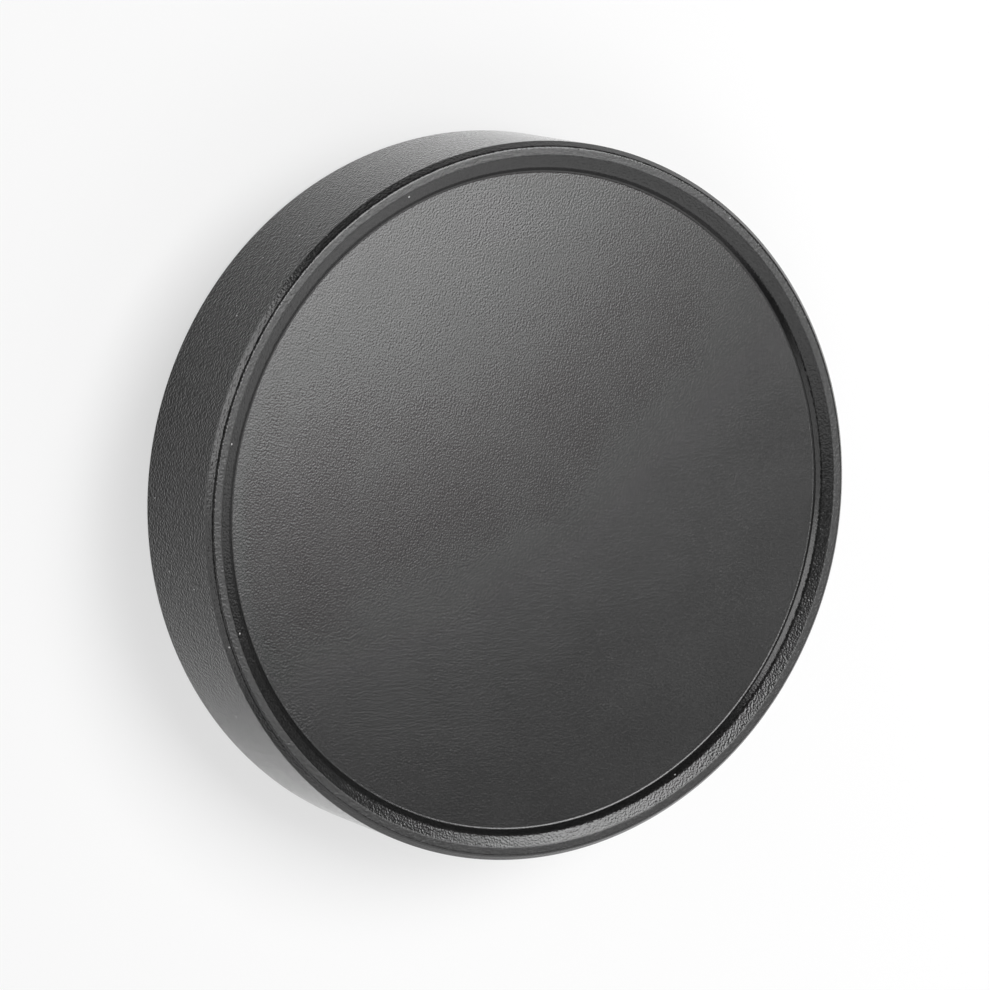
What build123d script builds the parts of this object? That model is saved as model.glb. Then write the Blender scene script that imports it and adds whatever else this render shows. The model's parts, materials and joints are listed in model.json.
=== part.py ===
from build123d import *
from math import radians, tan
import os

# Push-on lens cap, moulded in one piece: a front panel in a stepped rim, and a plain skirt.
# Millimetres. The skirt's open edge stands on Z = 0 and the front face looks along +Z.

# Skirt, which slides over the front ring of a lens
SEAT_DIAMETER = 80.0
SKIRT_WALL = 1.8
HEIGHT = 16.4
OUTSIDE_DRAFT_DEGREES = 0.5
LEAD_IN_WIDTH = 0.6
LEAD_IN_LENGTH = 1.2
FOOT_CHAMFER = 0.3

# Front panel, sunk below the rim's land
PANEL_THICKNESS = 1.8
RECESS_DEPTH = 1.44

# Front rim, from the outside in: chamfer, flat land, bevel and steep step
CHAMFER_WIDTH = 0.6
CHAMFER_HEIGHT = 0.8
LAND_WIDTH = 1.0
BEVEL_WIDTH = 1.4
BEVEL_DROP = 0.62
STEP_WIDTH = 0.5

# Rounding of the corners
SHOULDER_RADIUS = 0.25
LAND_EDGE_RADIUS = 0.4
BEVEL_EDGE_RADIUS = 0.4
BROW_RADIUS = 0.7
COVE_RADIUS = 0.4
INSIDE_CORNER_RADIUS = 0.8

# Radii that follow from the sizes above; the outside widens towards the open edge by its draft
seat_radius = SEAT_DIAMETER / 2
shoulder_radius = seat_radius + SKIRT_WALL
shoulder_height = HEIGHT - CHAMFER_HEIGHT
foot_radius = shoulder_radius + (shoulder_height - FOOT_CHAMFER) * tan(radians(OUTSIDE_DRAFT_DEGREES))
land_outer_radius = shoulder_radius - CHAMFER_WIDTH
land_inner_radius = land_outer_radius - LAND_WIDTH
brow_radius = land_inner_radius - BEVEL_WIDTH
face_radius = brow_radius - STEP_WIDTH

# Heights that follow from them
face_height = HEIGHT - RECESS_DEPTH
brow_height = HEIGHT - BEVEL_DROP
inside_height = face_height - PANEL_THICKNESS


def cap_section():
    """Half section on the XZ plane: each corner is its radius, its height and its rounding."""
    corners = [
        (0, face_height, 0),
        (face_radius, face_height, COVE_RADIUS),
        (brow_radius, brow_height, BROW_RADIUS),
        (land_inner_radius, HEIGHT, BEVEL_EDGE_RADIUS),
        (land_outer_radius, HEIGHT, LAND_EDGE_RADIUS),
        (shoulder_radius, shoulder_height, SHOULDER_RADIUS),
        (foot_radius, FOOT_CHAMFER, 0),
        (foot_radius - FOOT_CHAMFER, 0, 0),
        (seat_radius + LEAD_IN_WIDTH, 0, 0),
        (seat_radius, LEAD_IN_LENGTH, 0),
        (seat_radius, inside_height, INSIDE_CORNER_RADIUS),
        (0, inside_height, 0),
    ]
    points = [(radius, height) for radius, height, rounding in corners]
    roundings = [rounding for radius, height, rounding in corners]
    with BuildSketch(Plane.XZ) as section:
        with BuildLine():
            FilletPolyline(*points, radius=roundings, close=True)
        make_face()
    return section.sketch


def lens_cap():
    """The section turned once about the cap's axis."""
    return revolve(cap_section(), axis=Axis.Z)


os.makedirs("parts", exist_ok=True)
export_step(lens_cap(), "parts/lens_cap.step")
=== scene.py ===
import json
from math import ceil, cos, pi, radians, sin, tan

import bpy
from mathutils import Matrix, Quaternion, Vector


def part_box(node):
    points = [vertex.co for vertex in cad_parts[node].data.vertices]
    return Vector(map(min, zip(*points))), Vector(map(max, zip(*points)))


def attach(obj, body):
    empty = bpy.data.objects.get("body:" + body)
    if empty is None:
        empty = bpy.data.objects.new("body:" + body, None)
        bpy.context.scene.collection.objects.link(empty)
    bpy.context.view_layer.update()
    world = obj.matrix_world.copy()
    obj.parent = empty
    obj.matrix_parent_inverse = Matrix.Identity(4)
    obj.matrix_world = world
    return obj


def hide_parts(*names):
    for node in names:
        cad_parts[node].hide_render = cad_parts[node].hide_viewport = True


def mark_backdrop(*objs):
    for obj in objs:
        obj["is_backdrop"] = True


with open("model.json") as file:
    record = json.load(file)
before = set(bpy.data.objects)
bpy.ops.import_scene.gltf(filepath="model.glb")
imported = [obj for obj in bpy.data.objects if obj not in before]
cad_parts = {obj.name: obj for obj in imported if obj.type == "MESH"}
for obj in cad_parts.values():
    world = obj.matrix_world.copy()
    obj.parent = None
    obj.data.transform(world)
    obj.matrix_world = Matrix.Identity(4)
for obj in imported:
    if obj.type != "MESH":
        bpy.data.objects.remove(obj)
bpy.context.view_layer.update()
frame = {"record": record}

MM = 0.001

# Sizes of the cap: the frame gives the outside and the seat, the rest is the section's own
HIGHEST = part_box("lens_cap")[1]
HEIGHT = HIGHEST.z
FOOT_RADIUS = HIGHEST.x
LENS_SEAT = next(mount for mount in frame["record"]["mounts"] if mount["name"] == "lens_seat")
SEAT_RADIUS = LENS_SEAT["dims"]["r_mm"] * MM
SKIRT_WALL = 1.8 * MM
CHAMFER_WIDTH = 0.6 * MM
CHAMFER_HEIGHT = 0.8 * MM
LAND_WIDTH = 1.0 * MM
BEVEL_WIDTH = 1.4 * MM
BEVEL_DROP = 0.62 * MM
STEP_WIDTH = 0.5 * MM
RECESS_DEPTH = 1.44 * MM
PANEL_THICKNESS = 1.8 * MM
FOOT_CHAMFER = 0.3 * MM
LEAD_IN_WIDTH = 0.6 * MM
LEAD_IN_LENGTH = 1.2 * MM

# Rounding of the section's corners
SHOULDER_ROUND = 0.25 * MM
LAND_EDGE_ROUND = 0.4 * MM
BEVEL_EDGE_ROUND = 0.4 * MM
BROW_ROUND = 0.7 * MM
COVE_ROUND = 0.4 * MM
INSIDE_ROUND = 0.8 * MM
SHARP_ROUND = 0.08 * MM

# Radii and heights that follow
SHOULDER_RADIUS = SEAT_RADIUS + SKIRT_WALL
SHOULDER_HEIGHT = HEIGHT - CHAMFER_HEIGHT
LAND_OUTER_RADIUS = SHOULDER_RADIUS - CHAMFER_WIDTH
LAND_INNER_RADIUS = LAND_OUTER_RADIUS - LAND_WIDTH
BROW_RADIUS = LAND_INNER_RADIUS - BEVEL_WIDTH
BROW_HEIGHT = HEIGHT - BEVEL_DROP
FACE_RADIUS = BROW_RADIUS - STEP_WIDTH
FACE_HEIGHT = HEIGHT - RECESS_DEPTH
INSIDE_HEIGHT = FACE_HEIGHT - PANEL_THICKNESS

# Finishes of the moulding, in the order of its materials
FACE, BEVEL, LAND, CHAMFER, SKIRT, INSIDE = range(6)

# Fineness of the mesh: steps of a turn, the largest angle of a step on a round, and support beside a round
TURN_STEPS = 720
ARC_STEP = radians(6)
FEWEST_ARC_STEPS = 2
SUPPORT = 0.03 * MM

# Plastic: its index of refraction, the noise levels of the grain's pits and tops, the greys painted on them
# as shade in the pits and a highlight on the tops, and how its gloss varies
PLASTIC_IOR = 1.6
PIT_LEVEL = 0.4
CREST_LEVEL = 0.6
PIT_PAINTED_SHADE_GREY = 0.006
CREST_PAINTED_HIGHLIGHT_GREY = 0.017
GLOSS_SPREAD = 0.03
GLOSS_PATCHES_PER_METRE = 120
GLOSS_DETAIL = 4

# Skirt: a low index of refraction, so that its gloss shows at a glancing angle and hardly straight on
SKIRT_IOR = 1.15
SKIRT_COAT_ROUGHNESS = 0.1

# Specks of dust: plain as far as the core and gone at the radius, with the space that holds one
DUST_CORE = 0.084 * MM
DUST_RADIUS = 0.14 * MM
DUST_SPACING = 3.4 * MM
DUST_GREY = 0.5

# Floor: half its width, its grey, and its share of plain white as the eye and reflections see it
FLOOR_REACH = 5
FLOOR_GREY = 0.9
FLOOR_ROUGHNESS = 0.9
FLOOR_WHITE = 0.6

# Lamps, in metres: the key looks straight down, the panels and strips look at the cap's front
KEY_X, KEY_Y, KEY_HEIGHT = -0.228, 0.167, 0.516
PANEL_DISTANCE = 0.55
STRIP_WIDTH = 0.463
STRIP_HEIGHT = 0.116

# The even surrounding
WORLD_STRENGTH = 0.04

# The photograph's camera: where the shoulder's centre lies in the picture, and how the axis leans
PICTURE_SIZE = 990
CENTRE_PIXEL = (534.6, 503.4)
PIXELS_PER_METRE = 8679
AXIS_LEAN = radians(29.45)
AXIS_ROLL = radians(15.62)
CAMERA_DISTANCE = 0.566
CLIP_START = 0.01
SENSOR_WIDTH = 36


def rounded_corner(before, corner, after, rounding):
    """Points of one rounded corner of the section, with a support point on each straight side."""
    way_in = (corner - before).normalized()
    way_out = (after - corner).normalized()
    turn = way_in.angle_signed(way_out)
    reach = rounding * tan(abs(turn) / 2)
    start = corner - way_in * reach
    side = Vector((way_in.y, -way_in.x)) if turn > 0 else Vector((-way_in.y, way_in.x))
    centre = start + side * rounding
    steps = max(FEWEST_ARC_STEPS, ceil(abs(turn) / ARC_STEP))
    arm = start - centre
    points = [start - way_in * SUPPORT]
    for step in range(steps + 1):
        angle = -turn * step / steps
        points.append(centre + Vector((arm.x * cos(angle) - arm.y * sin(angle),
                                       arm.x * sin(angle) + arm.y * cos(angle))))
    points.append(corner + way_out * (reach + SUPPORT))
    return points


def cap_section():
    """The half section, from the middle of the face round the skirt to the middle of the inside.

    A corner is its radius, its height, its rounding, the finish of its round and the finish after it.
    The function gives the section's points, and for each the finish of the stretch that starts there."""
    corners = [
        (0, FACE_HEIGHT, 0, FACE, FACE),
        (FACE_RADIUS, FACE_HEIGHT, COVE_ROUND, FACE, FACE),
        (BROW_RADIUS, BROW_HEIGHT, BROW_ROUND, BEVEL, BEVEL),
        (LAND_INNER_RADIUS, HEIGHT, BEVEL_EDGE_ROUND, LAND, LAND),
        (LAND_OUTER_RADIUS, HEIGHT, LAND_EDGE_ROUND, CHAMFER, CHAMFER),
        (SHOULDER_RADIUS, SHOULDER_HEIGHT, SHOULDER_ROUND, CHAMFER, SKIRT),
        (FOOT_RADIUS, FOOT_CHAMFER, SHARP_ROUND, SKIRT, SKIRT),
        (FOOT_RADIUS - FOOT_CHAMFER, 0, SHARP_ROUND, SKIRT, SKIRT),
        (SEAT_RADIUS + LEAD_IN_WIDTH, 0, SHARP_ROUND, INSIDE, INSIDE),
        (SEAT_RADIUS, LEAD_IN_LENGTH, SHARP_ROUND, INSIDE, INSIDE),
        (SEAT_RADIUS, INSIDE_HEIGHT, INSIDE_ROUND, INSIDE, INSIDE),
        (0, INSIDE_HEIGHT, 0, INSIDE, INSIDE),
    ]
    places = [Vector(corner[:2]) for corner in corners]
    points = [places[0]]
    finishes = [FACE]
    for index in range(1, len(corners) - 1):
        rounding, round_finish, finish = corners[index][2:]
        corner_points = rounded_corner(places[index - 1], places[index], places[index + 1], rounding)
        points += corner_points
        finishes += [round_finish] * (len(corner_points) - 1) + [finish]
    return points + [places[-1]], finishes + [INSIDE]


def turned_cap(materials):
    """The section turned about Z, with one material for each finish."""
    section, section_finishes = cap_section()
    rings = section[1:-1]
    vertices = [(0, 0, section[0].y), (0, 0, section[-1].y)]
    face_middle, inside_middle = range(len(vertices))
    first_ring = len(vertices)
    last_ring = first_ring + (len(rings) - 1) * TURN_STEPS
    for point in rings:
        for step in range(TURN_STEPS):
            angle = 2 * pi * step / TURN_STEPS
            vertices.append((point.x * cos(angle), point.x * sin(angle), point.y))
    faces = []
    finishes = []
    for step in range(TURN_STEPS):
        following = (step + 1) % TURN_STEPS
        faces.append((face_middle, first_ring + step, first_ring + following))
        finishes.append(FACE)
        for ring in range(len(rings) - 1):
            start = first_ring + ring * TURN_STEPS
            end = start + TURN_STEPS
            faces.append((start + step, end + step, end + following, start + following))
            finishes.append(section_finishes[1 + ring])
        faces.append((inside_middle, last_ring + following, last_ring + step))
        finishes.append(INSIDE)
    mesh = bpy.data.meshes.new("cap_moulding")
    mesh.from_pydata(vertices, [], faces)
    for material in materials:
        mesh.materials.append(material)
    mesh.polygons.foreach_set("material_index", finishes)
    mesh.shade_smooth()
    mesh.update()
    cap = bpy.data.objects.new("cap_moulding", mesh)
    bpy.context.scene.collection.objects.link(cap)
    return cap


def grained_plastic(name, size, depth, roughness):
    """Black moulded plastic: a grain of a size and depth, with painted shade in its pits and a painted
    highlight on its tops, and a gloss that varies.
    """
    material = bpy.data.materials.new(name)
    material.use_nodes = True
    nodes = material.node_tree.nodes
    link = material.node_tree.links.new
    shader = nodes["Principled BSDF"]
    shader.inputs["IOR"].default_value = PLASTIC_IOR
    place = nodes.new("ShaderNodeTexCoord")
    grain = nodes.new("ShaderNodeTexNoise")
    grain.inputs["Scale"].default_value = 1 / size
    grain.inputs["Detail"].default_value = 0
    link(place.outputs["Object"], grain.inputs["Vector"])
    bump = nodes.new("ShaderNodeBump")
    bump.inputs["Strength"].default_value = 1
    bump.inputs["Distance"].default_value = depth
    link(grain.outputs["Fac"], bump.inputs["Height"])
    link(bump.outputs["Normal"], shader.inputs["Normal"])
    # The grain's relief is also painted into the colour: the pits darker as painted shade, the tops paler as
    # a painted highlight.
    painted_relief = nodes.new("ShaderNodeMapRange")
    painted_relief.name = "Painted relief shade"
    painted_relief.inputs["From Min"].default_value = PIT_LEVEL
    painted_relief.inputs["From Max"].default_value = CREST_LEVEL
    painted_relief.inputs["To Min"].default_value = PIT_PAINTED_SHADE_GREY
    painted_relief.inputs["To Max"].default_value = CREST_PAINTED_HIGHLIGHT_GREY
    link(grain.outputs["Fac"], painted_relief.inputs["Value"])
    link(painted_relief.outputs["Result"], shader.inputs["Base Color"])
    patches = nodes.new("ShaderNodeTexNoise")
    patches.inputs["Scale"].default_value = GLOSS_PATCHES_PER_METRE
    patches.inputs["Detail"].default_value = GLOSS_DETAIL
    link(place.outputs["Object"], patches.inputs["Vector"])
    gloss = nodes.new("ShaderNodeMapRange")
    gloss.inputs["To Min"].default_value = roughness - GLOSS_SPREAD
    gloss.inputs["To Max"].default_value = roughness + GLOSS_SPREAD
    link(patches.outputs["Fac"], gloss.inputs["Value"])
    link(gloss.outputs["Result"], shader.inputs["Roughness"])
    return material


def satin_skin(material):
    """Turns a plastic's gloss into the skirt's, with a coat over the same grain."""
    nodes = material.node_tree.nodes
    shader = nodes["Principled BSDF"]
    shader.inputs["IOR"].default_value = SKIRT_IOR
    shader.inputs["Specular Tint"].default_value = (0, 0, 0, 1)
    shader.inputs["Coat Weight"].default_value = 1
    shader.inputs["Coat IOR"].default_value = SKIRT_IOR
    shader.inputs["Coat Roughness"].default_value = SKIRT_COAT_ROUGHNESS
    material.node_tree.links.new(nodes["Bump"].outputs["Normal"], shader.inputs["Coat Normal"])
    return material


def dusty(material):
    """Adds a few pale specks of dust to a plastic, scattered at random."""
    nodes = material.node_tree.nodes
    link = material.node_tree.links.new
    specks = nodes.new("ShaderNodeTexVoronoi")
    specks.inputs["Scale"].default_value = 1 / DUST_SPACING
    link(nodes["Texture Coordinate"].outputs["Object"], specks.inputs["Vector"])
    cover = nodes.new("ShaderNodeMapRange")
    cover.inputs["From Min"].default_value = DUST_CORE / DUST_SPACING
    cover.inputs["From Max"].default_value = DUST_RADIUS / DUST_SPACING
    cover.inputs["To Min"].default_value = DUST_GREY
    # Between the specks the colour stays the grain's painted shade in the pits and painted highlight on the
    # tops.
    link(nodes["Painted relief shade"].outputs["Result"], cover.inputs["To Max"])
    link(specks.outputs["Distance"], cover.inputs["Value"])
    link(cover.outputs["Result"], nodes["Principled BSDF"].inputs["Base Color"])
    return material


def pale_floor():
    """A plain pale floor with a soft shadow: partly lit and partly plain white to the eye and in reflections.

    From below it is seen through."""
    mesh = bpy.data.meshes.new("floor")
    corners = [(-FLOOR_REACH, -FLOOR_REACH, 0), (FLOOR_REACH, -FLOOR_REACH, 0),
               (FLOOR_REACH, FLOOR_REACH, 0), (-FLOOR_REACH, FLOOR_REACH, 0)]
    mesh.from_pydata(corners, [], [(0, 1, 2, 3)])
    floor = bpy.data.objects.new("floor", mesh)
    bpy.context.scene.collection.objects.link(floor)
    material = bpy.data.materials.new("pale_floor")
    material.use_nodes = True
    nodes = material.node_tree.nodes
    link = material.node_tree.links.new
    shader = nodes["Principled BSDF"]
    shader.inputs["Base Color"].default_value = (FLOOR_GREY, FLOOR_GREY, FLOOR_GREY, 1)
    shader.inputs["Roughness"].default_value = FLOOR_ROUGHNESS
    shader.inputs["Specular IOR Level"].default_value = 0
    white = nodes.new("ShaderNodeEmission")
    white.inputs["Strength"].default_value = 1
    path = nodes.new("ShaderNodeLightPath")
    seen = nodes.new("ShaderNodeMath")
    seen.operation = "MAXIMUM"
    link(path.outputs["Is Camera Ray"], seen.inputs[0])
    link(path.outputs["Is Glossy Ray"], seen.inputs[1])
    seen_through = nodes.new("ShaderNodeMath")
    seen_through.operation = "MAXIMUM"
    link(seen.outputs["Value"], seen_through.inputs[0])
    link(path.outputs["Is Transmission Ray"], seen_through.inputs[1])
    share = nodes.new("ShaderNodeMath")
    share.operation = "MULTIPLY"
    link(seen_through.outputs["Value"], share.inputs[0])
    share.inputs[1].default_value = FLOOR_WHITE
    blend = nodes.new("ShaderNodeMixShader")
    link(share.outputs["Value"], blend.inputs["Fac"])
    link(shader.outputs["BSDF"], blend.inputs[1])
    link(white.outputs["Emission"], blend.inputs[2])
    side = nodes.new("ShaderNodeNewGeometry")
    clear = nodes.new("ShaderNodeBsdfTransparent")
    either = nodes.new("ShaderNodeMixShader")
    link(side.outputs["Backfacing"], either.inputs["Fac"])
    link(blend.outputs["Shader"], either.inputs[1])
    link(clear.outputs["BSDF"], either.inputs[2])
    link(either.outputs["Shader"], nodes["Material Output"].inputs["Surface"])
    mesh.materials.append(material)
    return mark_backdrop(floor)


def softbox(name, place, target, width, height, roll, brightness):
    """An area lamp that looks at a target and that the camera doesn't see.

    Its power grows with its area, so its brightness is the same at any size."""
    lamp = bpy.data.lights.new(name, "AREA")
    lamp.shape = "RECTANGLE"
    lamp.size = width
    lamp.size_y = height
    lamp.energy = brightness * pi * width * height
    box = bpy.data.objects.new(name, lamp)
    box.location = place
    back = (Vector(place) - Vector(target)).normalized()
    box.rotation_mode = "QUATERNION"
    box.rotation_quaternion = back.to_track_quat("Z", "Y") @ Quaternion((0, 0, 1), roll)
    box.visible_camera = False
    bpy.context.scene.collection.objects.link(box)


def panel(name, azimuth, elevation, width, height, brightness):
    """A softbox that looks at the cap's front.

    Its azimuth, from +X towards +Y, and its elevation are in degrees."""
    turn = radians(azimuth)
    rise = radians(elevation)
    flat = PANEL_DISTANCE * cos(rise)
    place = (flat * cos(turn), flat * sin(turn), HEIGHT + PANEL_DISTANCE * sin(rise))
    softbox(name, place, (0, 0, HEIGHT), width, height, 0, brightness)


def photo_camera():
    """The camera at the photograph's angle: the cap's axis leans right and a little down in the picture."""
    right = Vector((-sin(AXIS_ROLL), cos(AXIS_LEAN) * cos(AXIS_ROLL), sin(AXIS_LEAN) * cos(AXIS_ROLL)))
    up = Vector((-cos(AXIS_ROLL), -cos(AXIS_LEAN) * sin(AXIS_ROLL), -sin(AXIS_LEAN) * sin(AXIS_ROLL)))
    back = Vector((0, -sin(AXIS_LEAN), cos(AXIS_LEAN)))
    middle = PICTURE_SIZE / 2
    offset_right = (CENTRE_PIXEL[0] - middle) / PIXELS_PER_METRE
    offset_down = (CENTRE_PIXEL[1] - middle) / PIXELS_PER_METRE
    shoulder_centre = Vector((0, 0, SHOULDER_HEIGHT))
    data = bpy.data.cameras.new("photo_camera")
    data.sensor_width = SENSOR_WIDTH
    data.lens = SENSOR_WIDTH * PIXELS_PER_METRE * CAMERA_DISTANCE / PICTURE_SIZE
    data.clip_start = CLIP_START
    camera = bpy.data.objects.new("photo_camera", data)
    camera.matrix_world = Matrix((right, up, back)).transposed().to_4x4()
    camera.location = shoulder_centre + back * CAMERA_DISTANCE - right * offset_right + up * offset_down
    bpy.context.scene.collection.objects.link(camera)
    bpy.context.scene.camera = camera


def dim_world():
    """An even, dim surrounding."""
    world = bpy.data.worlds.new("studio")
    world.use_nodes = True
    background = world.node_tree.nodes["Background"]
    background.inputs["Color"].default_value = (1, 1, 1, 1)
    background.inputs["Strength"].default_value = WORLD_STRENGTH
    bpy.context.scene.world = world


cap = turned_cap([
    grained_plastic("face_plastic", size=0.22 * MM, depth=0.014 * MM, roughness=0.25),
    dusty(grained_plastic("bevel_plastic", size=0.22 * MM, depth=0.032 * MM, roughness=0.25)),
    dusty(grained_plastic("land_plastic", size=0.22 * MM, depth=0.034 * MM, roughness=0.38)),
    dusty(grained_plastic("chamfer_plastic", size=0.24 * MM, depth=0.030 * MM, roughness=0.25)),
    dusty(satin_skin(grained_plastic("skirt_plastic", size=0.28 * MM, depth=0.080 * MM, roughness=0.12))),
    grained_plastic("inside_plastic", size=0.27 * MM, depth=0.020 * MM, roughness=0.45),
])
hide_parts("lens_cap")
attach(cap, "root")

pale_floor()
dim_world()
softbox("key", place=(KEY_X, KEY_Y, KEY_HEIGHT), target=(KEY_X, KEY_Y, 0), width=0.434, height=0.311,
        roll=-0.407, brightness=7.6)
panel("right_panel", azimuth=36, elevation=25, width=0.85, height=0.50, brightness=1.05)
panel("high_panel", azimuth=-5, elevation=60, width=0.46, height=0.25, brightness=1.0)
panel("back_panel", azimuth=87, elevation=30, width=0.24, height=0.44, brightness=1.1)
panel("front_strip", azimuth=262, elevation=7, width=STRIP_WIDTH, height=STRIP_HEIGHT, brightness=4.9)
panel("side_strip", azimuth=308, elevation=7, width=STRIP_WIDTH, height=STRIP_HEIGHT, brightness=1.6)
photo_camera()
bpy.context.scene.view_settings.view_transform = "Standard"
